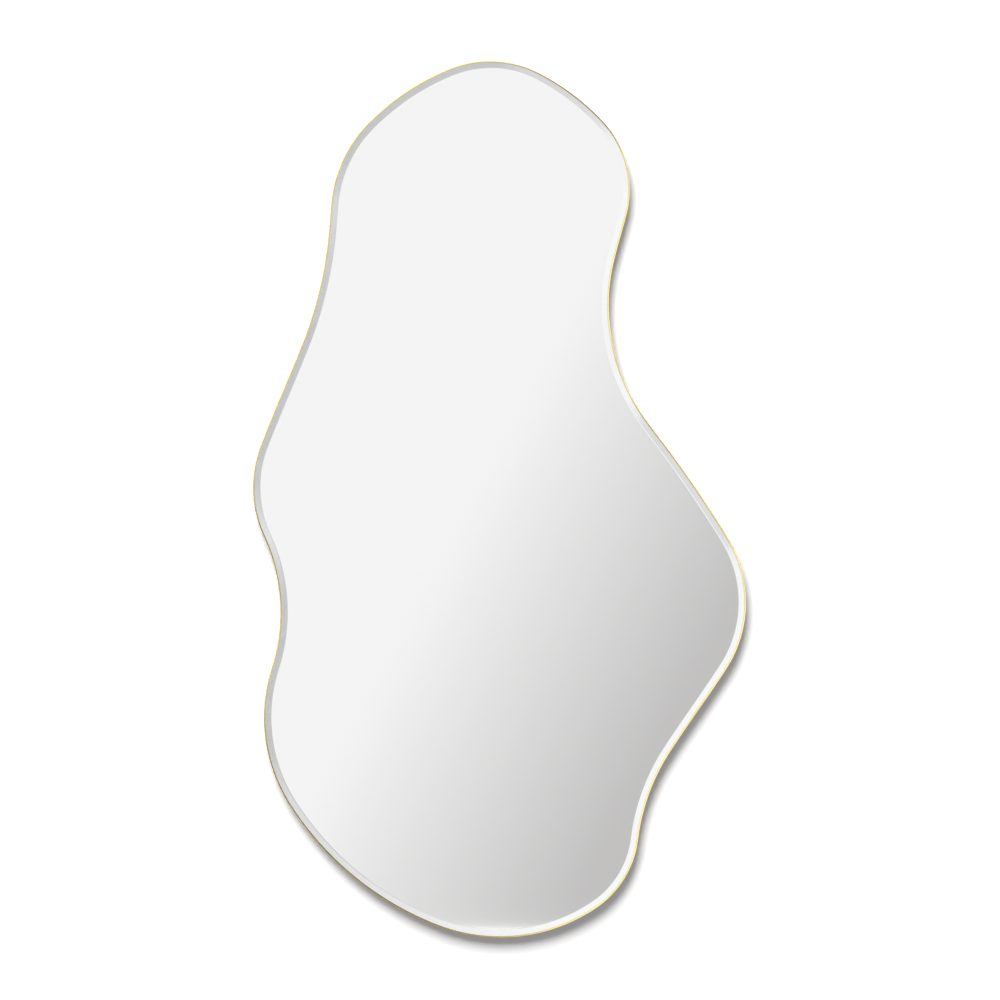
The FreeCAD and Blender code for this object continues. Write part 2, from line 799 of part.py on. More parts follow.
HANGER_AXIS = hanger_axis_depth()
PADS = {
    "wall_pad_upper_left": "left_shoulder",
    "wall_pad_upper_right": "right_shoulder",
    "wall_pad_lower_left": "foot",
    "wall_pad_lower_right": "hip",
}

flange_depth = value(level(FLANGE_BACK))
splice_depth = flange_depth - size("splice_thickness")
board_depth = value(level(BOARD_BACK))
columns = tape_columns()

pieces = [frame_half(side) for side in (LEFT, RIGHT)]
pieces += [splice_plate(end) for end in SPLICES]
pieces += [
    screw_group(f"board_screws_{side}", [(seat, flange_depth) for seat in seats])
    for side, seats in FLANGE_SEATS.items()
]
pieces += [
    screw_group(f"splice_screws_{end}", [(seat, splice_depth) for seat in seats])
    for end, seats in SPLICE_SEATS.items()
]
pieces.append(backing_board())
pieces += [mounting_tape(number, column) for number, column in enumerate(columns, start=1)]
pieces.append(adhesive_dabs(columns))
pieces.append(sheet_piece(
    "silver_backing", FILM_BACK, "film_thickness", "strip_thickness", "glass_clearance"
))
pieces.append(mirror_pane())
for side in (LEFT, RIGHT):
    pieces.append(hanger_strap(side))
    pieces.append(hanger_ring(side))
    layers = (2 * size("strap_thickness"), size("strap_thickness"))
    seats = [(seat, board_depth - layer) for seat, layer in zip(HANGER_SEATS[side], layers)]
    pieces.append(screw_group(f"hanger_screws_{side}", seats))
pieces += [wall_pad(name, pad_spot(lobe)) for name, lobe in PADS.items()]
doc.recompute()

# ---------------------------------------------------------------- checks and export

for thing in doc.Objects:
    if {"Invalid", "Error"} & set(thing.State):
        raise RuntimeError(f"{thing.Name} failed: {thing.State}")
for piece in pieces:
    if piece.Shape.isNull() or not piece.Shape.isValid() or piece.Shape.Volume <= 0:
        raise RuntimeError(f"{piece.Label} has no valid solid")

os.makedirs("parts", exist_ok=True)
for piece in pieces:
    piece.Shape.exportStep(f"parts/{piece.Label}.step")
    print(f"{piece.Label}: {len(piece.Shape.Solids)} solids, {piece.Shape.Volume:.1f} mm3")
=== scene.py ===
"""Free-form wall mirror: a bevelled, silvered pane in a thin gold frame, on a white wall.

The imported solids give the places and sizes. The pane, the two halves of the frame and the
screws get finer pieces of the same size; every other solid is shown as it is, with a
finish of its own.
"""

import logging
import math
from dataclasses import dataclass, field
from enum import Enum
from typing import Any

import bmesh
import bpy
import numpy as np
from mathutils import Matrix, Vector

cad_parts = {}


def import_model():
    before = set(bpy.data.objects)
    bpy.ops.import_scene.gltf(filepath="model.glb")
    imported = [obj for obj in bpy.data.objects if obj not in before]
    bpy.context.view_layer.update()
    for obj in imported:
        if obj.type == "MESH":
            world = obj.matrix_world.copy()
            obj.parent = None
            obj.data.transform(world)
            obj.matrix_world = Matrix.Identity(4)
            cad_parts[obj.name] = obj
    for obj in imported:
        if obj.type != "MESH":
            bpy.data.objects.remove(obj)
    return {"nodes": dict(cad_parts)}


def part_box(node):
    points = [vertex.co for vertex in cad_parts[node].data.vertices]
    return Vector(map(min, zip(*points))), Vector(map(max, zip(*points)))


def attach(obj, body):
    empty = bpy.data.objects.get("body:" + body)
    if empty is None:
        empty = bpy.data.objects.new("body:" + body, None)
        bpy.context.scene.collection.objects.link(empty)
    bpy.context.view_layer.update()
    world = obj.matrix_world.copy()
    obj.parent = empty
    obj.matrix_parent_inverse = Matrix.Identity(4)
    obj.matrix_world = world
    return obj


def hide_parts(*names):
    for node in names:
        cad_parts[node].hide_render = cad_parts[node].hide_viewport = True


LOG = logging.getLogger("mirror")
MM = 0.001

# Points of the solids, and of a mesh that is being made, that are closer than this are one.
SAME_PLACE = 1e-6
DOUBLES = 1e-7

Colour = tuple[float, float, float]
Number = "Signal | float"


# ---------------------------------------------------------------- shader graphs


class Signal:
    """A shader socket that takes Python's arithmetic."""

    def __init__(self, graph: "Graph", socket: bpy.types.NodeSocket) -> None:
        """Wrap an output socket of a graph."""
        self.graph = graph
        self.socket = socket

    def _maths(self, operation: str, *operands: Any) -> "Signal":
        """Add a Math node on these operands and return its result."""
        return self.graph.add(
            "ShaderNodeMath", {"operation": operation}, dict(enumerate(operands))
        )

    def __add__(self, other: Number) -> "Signal":
        """Sum."""
        return self._maths("ADD", self, other)

    def __radd__(self, other: Number) -> "Signal":
        """Sum with a plain number on the left."""
        return self._maths("ADD", other, self)

    def __sub__(self, other: Number) -> "Signal":
        """Difference."""
        return self._maths("SUBTRACT", self, other)

    def __rsub__(self, other: Number) -> "Signal":
        """Difference with a plain number on the left."""
        return self._maths("SUBTRACT", other, self)

    def __mul__(self, other: Number) -> "Signal":
        """Product."""
        return self._maths("MULTIPLY", self, other)

    def __rmul__(self, other: Number) -> "Signal":
        """Product with a plain number on the left."""
        return self._maths("MULTIPLY", other, self)

    def __truediv__(self, other: Number) -> "Signal":
        """Quotient."""
        return self._maths("DIVIDE", self, other)

    def __pow__(self, other: Number) -> "Signal":
        """Power."""
        return self._maths("POWER", self, other)

    def ramp(self, start: Number, end: Number) -> "Signal":
        """From 0 at start to 1 at end, level beyond both."""
        return self.graph.add(
            "ShaderNodeMapRange",
            {"clamp": True},
            {"Value": self, "From Min": start, "From Max": end},
        )

    def wrapped(self) -> "Signal":
        """What is left over above the whole number below it."""
        return self._maths("WRAP", self, 1.0, 0.0)

    def angle_to(self, x: "Signal") -> "Signal":
        """The angle of the direction that is this far up and x across, in radians."""
        return self._maths("ARCTAN2", self, x)


class Graph:
    """A node tree that is filled with one call for each node."""

    def __init__(self, tree: bpy.types.NodeTree) -> None:
        """Start with an empty tree."""
        self.tree = tree
        tree.nodes.clear()

    def add(self, kind: str, settings: dict[str, Any], inputs: dict[Any, Any]) -> Signal:
        """Add a node.

        Args:
            kind: The node's type name.
            settings: Its own settings, set first; "stops" fills a colour ramp.
            inputs: A value or a signal for each input, by name or number.

        Returns:
            The node's first output that is in use.
        """
        node = self.tree.nodes.new(kind)
        for name, setting in settings.items():
            if name == "stops":
                self._set_stops(node.color_ramp, setting)
            else:
                setattr(node, name, setting)
        for name, value in inputs.items():
            socket = self._input(node, name)
            if isinstance(value, Signal):
                self.tree.links.new(value.socket, socket)
            elif isinstance(value, tuple) and len(value) == 3 and socket.type == "RGBA":
                socket.default_value = (*value, 1.0)
            else:
                socket.default_value = value
        used = [socket for socket in node.outputs if socket.enabled]
        return Signal(self, used[0]) if used else None

    def output(self, kind: str, name: str) -> Signal:
        """Add a node without inputs and return the named output."""
        return Signal(self, self.tree.nodes.new(kind).outputs[name])

    def split(self, vector: Signal) -> tuple[Signal, Signal, Signal]:
        """The three components of a vector."""
        node = self.tree.nodes.new("ShaderNodeSeparateXYZ")
        self.tree.links.new(vector.socket, node.inputs[0])
        return tuple(Signal(self, socket) for socket in node.outputs)

    def blend(self, factor: Number, first: Any, second: Any) -> Signal:
        """A colour between two others."""
        return self.add(
            "ShaderNodeMix",
            {"data_type": "RGBA"},
            {"Factor": factor, "A": first, "B": second},
        )

    def noise(self, place: Signal, scale: float, detail: float = 3.0) -> Signal:
        """Fractal noise from 0 to 1."""
        return self.add(
            "ShaderNodeTexNoise", {}, {"Vector": place, "Scale": scale, "Detail": detail}
        )

    def cells(self, place: Signal, scale: float) -> Signal:
        """Distance to the nearest of many scattered points."""
        return self.add(
            "ShaderNodeTexVoronoi", {"feature": "F1"}, {"Vector": place, "Scale": scale}
        )

    def stretched(self, place: Signal, scale: tuple[float, float, float]) -> Signal:
        """Coordinates scaled by axis, for grain with a direction."""
        return self.add("ShaderNodeMapping", {}, {"Vector": place, "Scale": scale})

    def bump(self, height: Signal, distance: float, strength: float) -> Signal:
        """A normal that is disturbed by a height."""
        return self.add(
            "ShaderNodeBump",
            {},
            {"Height": height, "Distance": distance, "Strength": strength},
        )

    @staticmethod
    def _input(node: bpy.types.Node, name: Any) -> bpy.types.NodeSocket:
        """The input of this name or number that is in use."""
        if isinstance(name, int):
            return node.inputs[name]
        return next(s for s in node.inputs if s.name == name and s.enabled)

    @staticmethod
    def _set_stops(ramp: bpy.types.ColorRamp, stops: list[tuple[float, Colour]]) -> None:
        """Give a colour ramp its stops."""
        for place, _ in stops[1:-1]:
            ramp.elements.new(place)
        for element, (place, colour) in zip(ramp.elements, stops):
            element.position = place
            element.color = (*colour, 1.0)


# ---------------------------------------------------------------- finishes


@dataclass(frozen=True)
class Finish:
    """What all finishes share."""

    name: str

    def material(self) -> bpy.types.Material:
        """The finish as a material, made on first use."""
        found = bpy.data.materials.get(self.name)
        if found:
            return found
        made = bpy.data.materials.new(self.name)
        made.use_nodes = True
        graph = Graph(made.node_tree)
        surface = self.surface(graph, graph.output("ShaderNodeTexCoord", "Object"))
        graph.add("ShaderNodeOutputMaterial", {}, {"Surface": surface})
        return made

    def surface(self, graph: Graph, place: Signal) -> Signal:
        """The finish's shader, for points given in object coordinates."""
        raise NotImplementedError


@dataclass(frozen=True)
class Gold(Finish):
    """Polished gold-coloured metal with faint draw marks and a little tarnish."""

    bright: Colour = (0.85, 0.69, 0.21)
    tarnish: Colour = (0.60, 0.46, 0.11)
    grazing: Colour = (0.88, 0.72, 0.30)
    roughness: float = 0.14
    drift_scale: float = 22.0
    mark_scale: float = 900.0
    mark_stretch: tuple[float, float, float] = (1.0, 14.0, 1.0)
    mark_depth: float = 0.02 * MM

    def surface(self, graph: Graph, place: Signal) -> Signal:
        """Metal whose colour and gloss drift slowly along the strip."""
        drift = graph.noise(place, self.drift_scale).ramp(0.42, 0.72)
        across = graph.stretched(place, self.mark_stretch)
        marks = graph.noise(across, self.mark_scale, 5.0)
        return graph.add(
            "ShaderNodeBsdfPrincipled",
            {},
            {
                "Base Color": graph.blend(drift * 0.6, self.bright, self.tarnish),
                "Metallic": 1.0,
                "Specular Tint": self.grazing,
                "Roughness": self.roughness + 0.10 * marks + 0.06 * drift,
                "Normal": graph.bump(marks, self.mark_depth, 0.35),
            },
        )


@dataclass(frozen=True)
class Silvering(Finish):
    """The reflecting metal on the back of the glass."""

    colour: Colour = (0.972, 0.970, 0.970)
    thin: Colour = (0.955, 0.952, 0.952)
    cloud_scale: float = 6.0

    def surface(self, graph: Graph, place: Signal) -> Signal:
        """A clean mirror, very slightly duller where the silver is thin."""
        cloud = graph.noise(place, self.cloud_scale)
        return graph.add(
            "ShaderNodeBsdfPrincipled",
            {},
            {
                "Base Color": graph.blend(cloud * 0.25, self.colour, self.thin),
                "Metallic": 1.0,
                "Roughness": 0.0,
            },
        )


@dataclass(frozen=True)
class ClearGlass(Finish):
    """Polished float glass."""

    tint: Colour = (0.994, 0.998, 0.995)
    haze: Colour = (0.998, 1.0, 0.999)
    haze_scale: float = 40.0
    refraction: float = 1.52

    def surface(self, graph: Graph, place: Signal) -> Signal:
        """Clear glass with the faint green that iron gives it."""
        haze = graph.noise(place, self.haze_scale)
        return graph.add(
            "ShaderNodeBsdfPrincipled",
            {},
            {
                "Base Color": graph.blend(haze * 0.5, self.tint, self.haze),
                "Roughness": 0.0,
                "IOR": self.refraction,
                "Transmission Weight": 1.0,
            },
        )


@dataclass(frozen=True)
class PlatedSteel(Finish):
    """Zinc or nickel plate over pressed or drawn steel."""

    bright: Colour = (0.62, 0.63, 0.64)
    dull: Colour = (0.42, 0.43, 0.45)
    roughness: float = 0.3
    crystal_scale: float = 900.0
    streak_scale: float = 260.0
    streak_stretch: tuple[float, float, float] = (8.0, 1.0, 1.0)
    streak_depth: float = 0.03 * MM

    def surface(self, graph: Graph, place: Signal) -> Signal:
        """Plate with small crystals and rubbed streaks."""
        crystals = graph.cells(place, self.crystal_scale)
        along = graph.stretched(place, self.streak_stretch)
        streaks = graph.noise(along, self.streak_scale, 4.0)
        shade = crystals * 0.5 + streaks * 0.5
        return graph.add(
            "ShaderNodeBsdfPrincipled",
            {},
            {
                "Base Color": graph.blend(shade, self.bright, self.dull),
                "Metallic": 1.0,
                "Roughness": self.roughness + 0.15 * streaks,
                "Normal": graph.bump(streaks, self.streak_depth, 0.4),
            },
        )


@dataclass(frozen=True)
class Fibreboard(Finish):
    """Raw medium-density fibreboard."""

    pale: Colour = (0.46, 0.30, 0.17)
    dark: Colour = (0.27, 0.165, 0.085)
    fibre_scale: float = 1500.0
    fibre_stretch: tuple[float, float, float] = (1.0, 1.0, 0.35)
    fibre_depth: float = 0.12 * MM
    fleck_scale: float = 420.0
    cloud_scale: float = 9.0

    def surface(self, graph: Graph, place: Signal) -> Signal:
        """Fine fibres, darker flecks and a slow change of tone."""
        upright = graph.stretched(place, self.fibre_stretch)
        fibres = graph.noise(upright, self.fibre_scale, 6.0)
        flecks = graph.noise(place, self.fleck_scale, 2.0).ramp(0.60, 0.74)
        clouds = graph.noise(place, self.cloud_scale).ramp(0.3, 0.7)
        tone = fibres * 0.45 + flecks * 0.35 + clouds * 0.25
        return graph.add(
            "ShaderNodeBsdfPrincipled",
            {},
            {
                "Base Color": graph.blend(tone, self.pale, self.dark),
                "Roughness": 0.78 + 0.12 * fibres,
                "Normal": graph.bump(fibres, self.fibre_depth, 0.5),
            },
        )


@dataclass(frozen=True)
class Rubber(Finish):
    """Moulded black rubber."""

    colour: Colour = (0.022, 0.022, 0.024)
    bloom: Colour = (0.09, 0.088, 0.085)
    pore_scale: float = 2200.0
    pore_depth: float = 0.05 * MM
    dust_scale: float = 120.0

    def surface(self, graph: Graph, place: Signal) -> Signal:
        """Matt rubber with fine pores and a bloom of dust."""
        pores = graph.noise(place, self.pore_scale)
        dust = graph.noise(place, self.dust_scale, 4.0).ramp(0.5, 0.8)
        return graph.add(
            "ShaderNodeBsdfPrincipled",
            {},
            {
                "Base Color": graph.blend(dust * 0.35, self.colour, self.bloom),
                "Roughness": 0.55 + 0.25 * pores,
                "Normal": graph.bump(pores, self.pore_depth, 0.5),
            },
        )


@dataclass(frozen=True)
class Foam(Finish):
    """Closed-cell foam tape or cured adhesive."""

    pale: Colour = (0.78, 0.78, 0.75)
    dark: Colour = (0.55, 0.55, 0.52)
    cell_scale: float = 1800.0
    cell_depth: float = 0.06 * MM

    def surface(self, graph: Graph, place: Signal) -> Signal:
        """Small cells under a matt skin."""
        cells = graph.cells(place, self.cell_scale)
        return graph.add(
            "ShaderNodeBsdfPrincipled",
            {},
            {
                "Base Color": graph.blend(cells.ramp(0.2, 0.8), self.pale, self.dark),
                "Roughness": 0.7 + 0.2 * cells,
                "Normal": graph.bump(cells, self.cell_depth, 0.4),
            },
        )


@dataclass(frozen=True)
class Paint(Finish):
    """Plain paint of the wall and floor, with a small glow for what the camera sees."""

    colour: Colour = (1.2, 1.2, 1.2)
    lift: float = 0.10
    shows_from_behind: bool = True

    def surface(self, graph: Graph, place: Signal) -> Signal:
        """Diffuse paint, with the glow for rays of the camera, of glass and of metal."""
        path = {
            name: graph.output("ShaderNodeLightPath", name)
            for name in ("Is Camera Ray", "Is Glossy Ray", "Is Transmission Ray")
        }
        seen = path["Is Camera Ray"] + path["Is Glossy Ray"] + path["Is Transmission Ray"]
        paint = graph.add("ShaderNodeBsdfDiffuse", {}, {"Color": self.colour})
        glow = graph.add(
            "ShaderNodeEmission",
            {},
            {"Color": (1.0, 1.0, 1.0), "Strength": seen.ramp(0.0, 1.0) * self.lift},
        )
        lit = graph.add("ShaderNodeAddShader", {}, {0: paint, 1: glow})
        if self.shows_from_behind:
            return lit
        behind = graph.output("ShaderNodeNewGeometry", "Backfacing")
        clear = graph.add("ShaderNodeBsdfTransparent", {}, {})
        return graph.add("ShaderNodeMixShader", {}, {0: behind, 1: lit, 2: clear})


GOLD = Gold("polished_gold")
SILVER = Silvering("silvering")
GLASS = ClearGlass("clear_glass")
ZINC = PlatedSteel("zinc_plate")
NICKEL = PlatedSteel("nickel_plate", (0.74, 0.73, 0.71), (0.55, 0.54, 0.52), 0.16)
BOARD = Fibreboard("raw_fibreboard")
RUBBER = Rubber("black_rubber")
TAPE = Foam("white_foam_tape")
ADHESIVE = Foam("grey_adhesive", (0.42, 0.42, 0.40), (0.30, 0.30, 0.29), 700.0)
BACK_PAINT = Foam("backing_paint", (0.36, 0.37, 0.38), (0.28, 0.29, 0.30), 2600.0)


def dress(obj: bpy.types.Object, *finishes: Finish) -> None:
    """Give an object its finishes, one for each material slot."""
    obj.data.materials.clear()
    for finish in finishes:
        obj.data.materials.append(finish.material())


# ---------------------------------------------------------------- mesh making


class Rim(Enum):
    """Whether a run of stations goes all the way round."""

    CLOSED = "closed"
    OPEN = "open"


def select_only(obj: bpy.types.Object) -> None:
    """Make one object the only selected and the active one."""
    bpy.ops.object.select_all(action="DESELECT")
    obj.select_set(True)
    bpy.context.view_layer.objects.active = obj


def extruded(name: str, rails: list[np.ndarray], rim: Rim) -> bpy.types.Object:
    """Draw a chain of vertices and extrude it from rail to rail.

    Args:
        name: The new object's name.
        rails: Places of the chain's vertices on each rail, all with the same count.
        rim: Whether each rail closes on itself.

    Returns:
        The skin between the rails, still open at the first and last one.
    """
    bpy.ops.object.select_all(action="DESELECT")
    bpy.ops.mesh.primitive_circle_add(vertices=len(rails[0]), radius=0.2)
    obj = bpy.context.object
    obj.name = obj.data.name = name
    for vertex, place in zip(obj.data.vertices, rails[0]):
        vertex.co = place
    bpy.ops.object.mode_set(mode="EDIT")
    bpy.ops.mesh.select_mode(type="EDGE")
    if rim is Rim.OPEN:
        bpy.ops.mesh.select_all(action="DESELECT")
        mesh = bmesh.from_edit_mesh(obj.data)
        mesh.verts.ensure_lookup_table()
        ends = {mesh.verts[0], mesh.verts[len(rails[0]) - 1]}
        next(edge for edge in mesh.edges if set(edge.verts) == ends).select = True
        bpy.ops.mesh.delete(type="EDGE")
    bpy.ops.mesh.select_all(action="SELECT")
    for before, after in zip(rails, rails[1:]):
        bpy.ops.mesh.extrude_edges_move()
        mesh = bmesh.from_edit_mesh(obj.data)
        for vertex in (v for v in mesh.verts if v.select):
            nearest = np.argmin(((before - np.array(vertex.co)) ** 2).sum(axis=1))
            vertex.co = after[nearest]
        bmesh.update_edit_mesh(obj.data)
    return obj


def close_holes(obj: bpy.types.Object) -> None:
    """Merge doubles, fill every open end and turn the faces outwards."""
    bpy.ops.mesh.select_all(action="SELECT")
    bpy.ops.mesh.remove_doubles(threshold=DOUBLES)
    bpy.ops.mesh.select_all(action="DESELECT")
    bpy.ops.mesh.select_mode(type="EDGE")
    bpy.ops.mesh.select_non_manifold()
    bpy.ops.mesh.fill_holes(sides=0)
    bpy.ops.mesh.select_all(action="SELECT")
    bpy.ops.mesh.normals_make_consistent(inside=False)
    bpy.ops.object.mode_set(mode="OBJECT")


def smooth(obj: bpy.types.Object, angle: float) -> None:
    """Shade smooth below an angle in degrees, with normals that follow the larger faces."""
    select_only(obj)
    bpy.ops.object.shade_smooth_by_angle(angle=math.radians(angle))
    weighted = obj.modifiers.new("weighted", "WEIGHTED_NORMAL")
    weighted.keep_sharp = True
    weighted.weight = 100
    bpy.ops.object.modifier_apply(modifier=weighted.name)


def rounded(corners: list[tuple[float, float, float]], steps: int) -> np.ndarray:
    """A closed profile with each corner rounded.

    Args:
        corners: The profile's sharp corners, in order, each with its rounding's radius.
        steps: How many faces each rounding has.

    Returns:
        The rounded profile's points, one row each.
    """
    points = []
    places = np.array(corners, float)[:, :2]
    radii = [corner[2] for corner in corners]
    around = zip(np.roll(places, 1, 0), places, np.roll(places, -1, 0), radii)
    for before, here, after, radius in around:
        back = (before - here) / np.linalg.norm(before - here)
        ahead = (after - here) / np.linalg.norm(after - here)
        start, end = here + back * radius, here + ahead * radius
        centre = here + (back + ahead) * radius
        for share in np.linspace(0, math.pi / 2, steps + 1):
            across, along = math.cos(share), math.sin(share)
            points.append(centre + (start - centre) * across + (end - centre) * along)
    return np.array(points)


# ---------------------------------------------------------------- the outline


@dataclass
class Outline:
    """The frame's outer edge as a smooth closed curve, read from the pane's solid.

    Points are given by a share of the length, by how far inside the outer edge they lie
    and by their depth. All lengths are in metres.
    """

    node: str = "mirror_pane"
    bevel_drop: float = 1.5 * MM
    pane_inset: float = 1.55 * MM
    samples: int = 8000
    ends_beyond: float = 0.3
    places: np.ndarray = field(init=False)
    outward: np.ndarray = field(init=False)
    shares: np.ndarray = field(init=False)

    def __post_init__(self) -> None:
        """Fit the curve and note its points, normals and lengths."""
        loop = self._pane_loop(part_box(self.node)[0].y + self.bevel_drop)
        chord = np.linalg.norm(np.diff(loop, axis=0, append=loop[:1]), axis=1)
        knots = np.concatenate([[0], np.cumsum(chord)])
        moments = self._moments(loop, chord)
        along = np.linspace(0, knots[-1], self.samples, endpoint=False)
        piece = np.searchsorted(knots, along, side="right") - 1
        after = (piece + 1) % len(loop)
        width = chord[piece][:, None]
        b = (along - knots[piece])[:, None] / width
        a = 1 - b
        bend = ((a**3 - a) * moments[piece] + (b**3 - b) * moments[after]) * width**2 / 6
        points = a * loop[piece] + b * loop[after] + bend
        slope = (loop[after] - loop[piece]) / width + (
            (3 * b**2 - 1) * moments[after] - (3 * a**2 - 1) * moments[piece]
        ) * width / 6
        slope /= np.linalg.norm(slope, axis=1)[:, None]
        self.outward = np.column_stack([slope[:, 1], -slope[:, 0]])
        self.places = points + self.outward * self.pane_inset
        steps = np.linalg.norm(np.diff(self.places, axis=0, append=self.places[:1]), axis=1)
        self.shares = np.concatenate([[0], np.cumsum(steps)]) / steps.sum()
        self.length = steps.sum()

    def _pane_loop(self, level: float) -> np.ndarray:
        """The pane's outer edge at one depth, anticlockwise as seen from the front."""
        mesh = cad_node(self.node).data
        corners = np.array([vertex.co for vertex in mesh.vertices])
        keys = [tuple(np.round(corner / SAME_PLACE).astype(int)) for corner in corners]
        place = {key: corner[[0, 2]] for key, corner in zip(keys, corners)}
        beside: dict[tuple, set] = {}
        for face in mesh.polygons:
            at_level = {
                keys[i] for i in face.vertices if abs(corners[i][1] - level) < SAME_PLACE
            }
            if len(at_level) == 2:
                first, second = at_level
                beside.setdefault(first, set()).add(second)
                beside.setdefault(second, set()).add(first)
        start = min(beside, key=lambda key: place[key][1])
        walk = [start, max(beside[start], key=lambda key: place[key][0])]
        while True:
            onward = beside[walk[-1]] - {walk[-2]}
            if start in onward and len(walk) > 2:
                break
            walk.append(onward.pop())
        return np.array([place[key] for key in walk])

    @staticmethod
    def _moments(loop: np.ndarray, chord: np.ndarray) -> np.ndarray:
        """Second derivatives of the closed cubic spline through the loop."""
        count = len(loop)
        before = np.roll(chord, 1)
        matrix = np.diag(2 * (before + chord))
        rows = np.arange(count)
        matrix[rows, (rows + 1) % count] += chord
        matrix[rows, (rows - 1) % count] += before
        slope = (np.roll(loop, -1, axis=0) - loop) / chord[:, None]
        return np.linalg.solve(matrix, 6 * (slope - np.roll(slope, 1, axis=0)))

    def stations(
        self, start: float, end: float, count: int, inset: float, y: float
    ) -> np.ndarray:
        """Points on the outline moved inwards, evenly spaced between two shares.

        Args:
            start: The first point's share of the length.
            end: The last point's share; below start, it goes on through the crown.
            count: How many points to give.
            inset: How far inside the frame's outer edge.
            y: The points' depth.

        Returns:
            The points, one row each.
        """
        end += end <= start
        shares = np.linspace(start, end, count) % 1.0
        spots = np.interp(shares, self.shares, np.arange(self.samples + 1)) % self.samples
        whole = spots.astype(int)
        part = (spots - whole)[:, None]
        onward = (whole + 1) % self.samples
        flat = self.places[whole] * (1 - part) + self.places[onward] * part
        normal = self.outward[whole] * (1 - part) + self.outward[onward] * part
        flat = flat - normal * inset
        return np.column_stack([flat[:, 0], np.full(count, y), flat[:, 1]])

    def share_at(self, x: float, upper: bool) -> float:
        """The share of the length at which the crown or the base passes an x."""
        heights = self.places[:, 1] * (1 if upper else -1)
        near = heights > self.ends_beyond
        gaps = np.where(near, abs(self.places[:, 0] - x), np.inf)
        return float(self.shares[int(np.argmin(gaps))])


# ---------------------------------------------------------------- sub-assemblies


NODES: dict[str, bpy.types.Object] = {}


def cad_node(name: str) -> bpy.types.Object:
    """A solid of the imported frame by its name."""
    return NODES[name]


@dataclass
class Pane:
    """The bevelled glass with its silvered back."""

    outline: Outline
    stations: int = 900
    edge_inset: float = 1.25 * MM
    bevel_inset: float = 6.55 * MM
    bevel_drop: float = 1.5 * MM
    arris: float = 0.12 * MM
    arris_steps: int = 4
    behind_gap: float = 0.02 * MM
    smooth_angle: float = 12.0

    def build(self) -> bpy.types.Object:
        """Make the pane and put it in the solid's place."""
        low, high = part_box("mirror_pane")
        front, back = low.y, high.y - self.behind_gap
        profile = [(self.edge_inset, back), (self.edge_inset, front + self.bevel_drop)]
        slope = self.bevel_drop / (self.bevel_inset - self.edge_inset)
        for share in np.linspace(-1, 1, self.arris_steps + 1):
            off = share * self.arris
            fall = slope * (self.arris - off) ** 2 / (4 * self.arris)
            profile.append((self.bevel_inset + off, front + fall))
        rails = [
            self.outline.stations(0, 1 - 1 / self.stations, self.stations, depth, y)
            for depth, y in profile
        ]
        pane = extruded("pane", rails, Rim.CLOSED)
        close_holes(pane)
        dress(pane, GLASS, SILVER)
        for face in pane.data.polygons:
            face.material_index = int(face.normal.y > 0.9)
        smooth(pane, self.smooth_angle)
        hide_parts("mirror_pane")
        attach(pane, "mirror")
        return pane


@dataclass
class Frame:
    """The two halves of the gold strip, each with its flange behind the board."""

    outline: Outline
    spacing: float = 2.4 * MM
    joint_gap: float = 0.3 * MM
    strip_thickness: float = 1.2 * MM
    flange_width: float = 12.0 * MM
    flange_thickness: float = 1.2 * MM
    rolled_edge: float = 1.04 * MM
    inner_edge: float = 0.12 * MM
    flange_edge: float = 0.3 * MM
    rounding_steps: int = 6
    smooth_angle: float = 25.0

    def build(self) -> list[bpy.types.Object]:
        """Make both halves between the two joints."""
        top = self.outline.share_at(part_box("frame_left")[1].x, upper=True)
        bottom = self.outline.share_at(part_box("frame_right")[0].x, upper=False)
        gap = self.joint_gap / self.outline.length
        return [
            self._half("frame_left", top, bottom - gap),
            self._half("frame_right", bottom, top - gap),
        ]

    def _half(self, node: str, start: float, end: float) -> bpy.types.Object:
        """One half from joint to joint, in its solid's place."""
        low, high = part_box(node)
        corners = [
            (0.0, high.y, self.flange_edge),
            (self.flange_width, high.y, self.flange_edge),
            (self.flange_width, high.y - self.flange_thickness, self.flange_edge),
            (self.strip_thickness, high.y - self.flange_thickness, self.flange_edge),
            (self.strip_thickness, low.y, self.inner_edge),
            (0.0, low.y, self.rolled_edge),
        ]
        profile = rounded(corners, self.rounding_steps)
        reach = (end - start) % 1.0 * self.outline.length
        count = int(reach / self.spacing)
        rails = [
            self.outline.stations(start, end, count, inset, y)
            for inset, y in np.vstack([profile, profile[:1]])
        ]
        half = extruded(f"{node}_strip", rails, Rim.OPEN)
        half.visible_diffuse = False
        close_holes(half)
        dress(half, GOLD)
        smooth(half, self.smooth_angle)
        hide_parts(node)
        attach(half, "mirror")
        return half


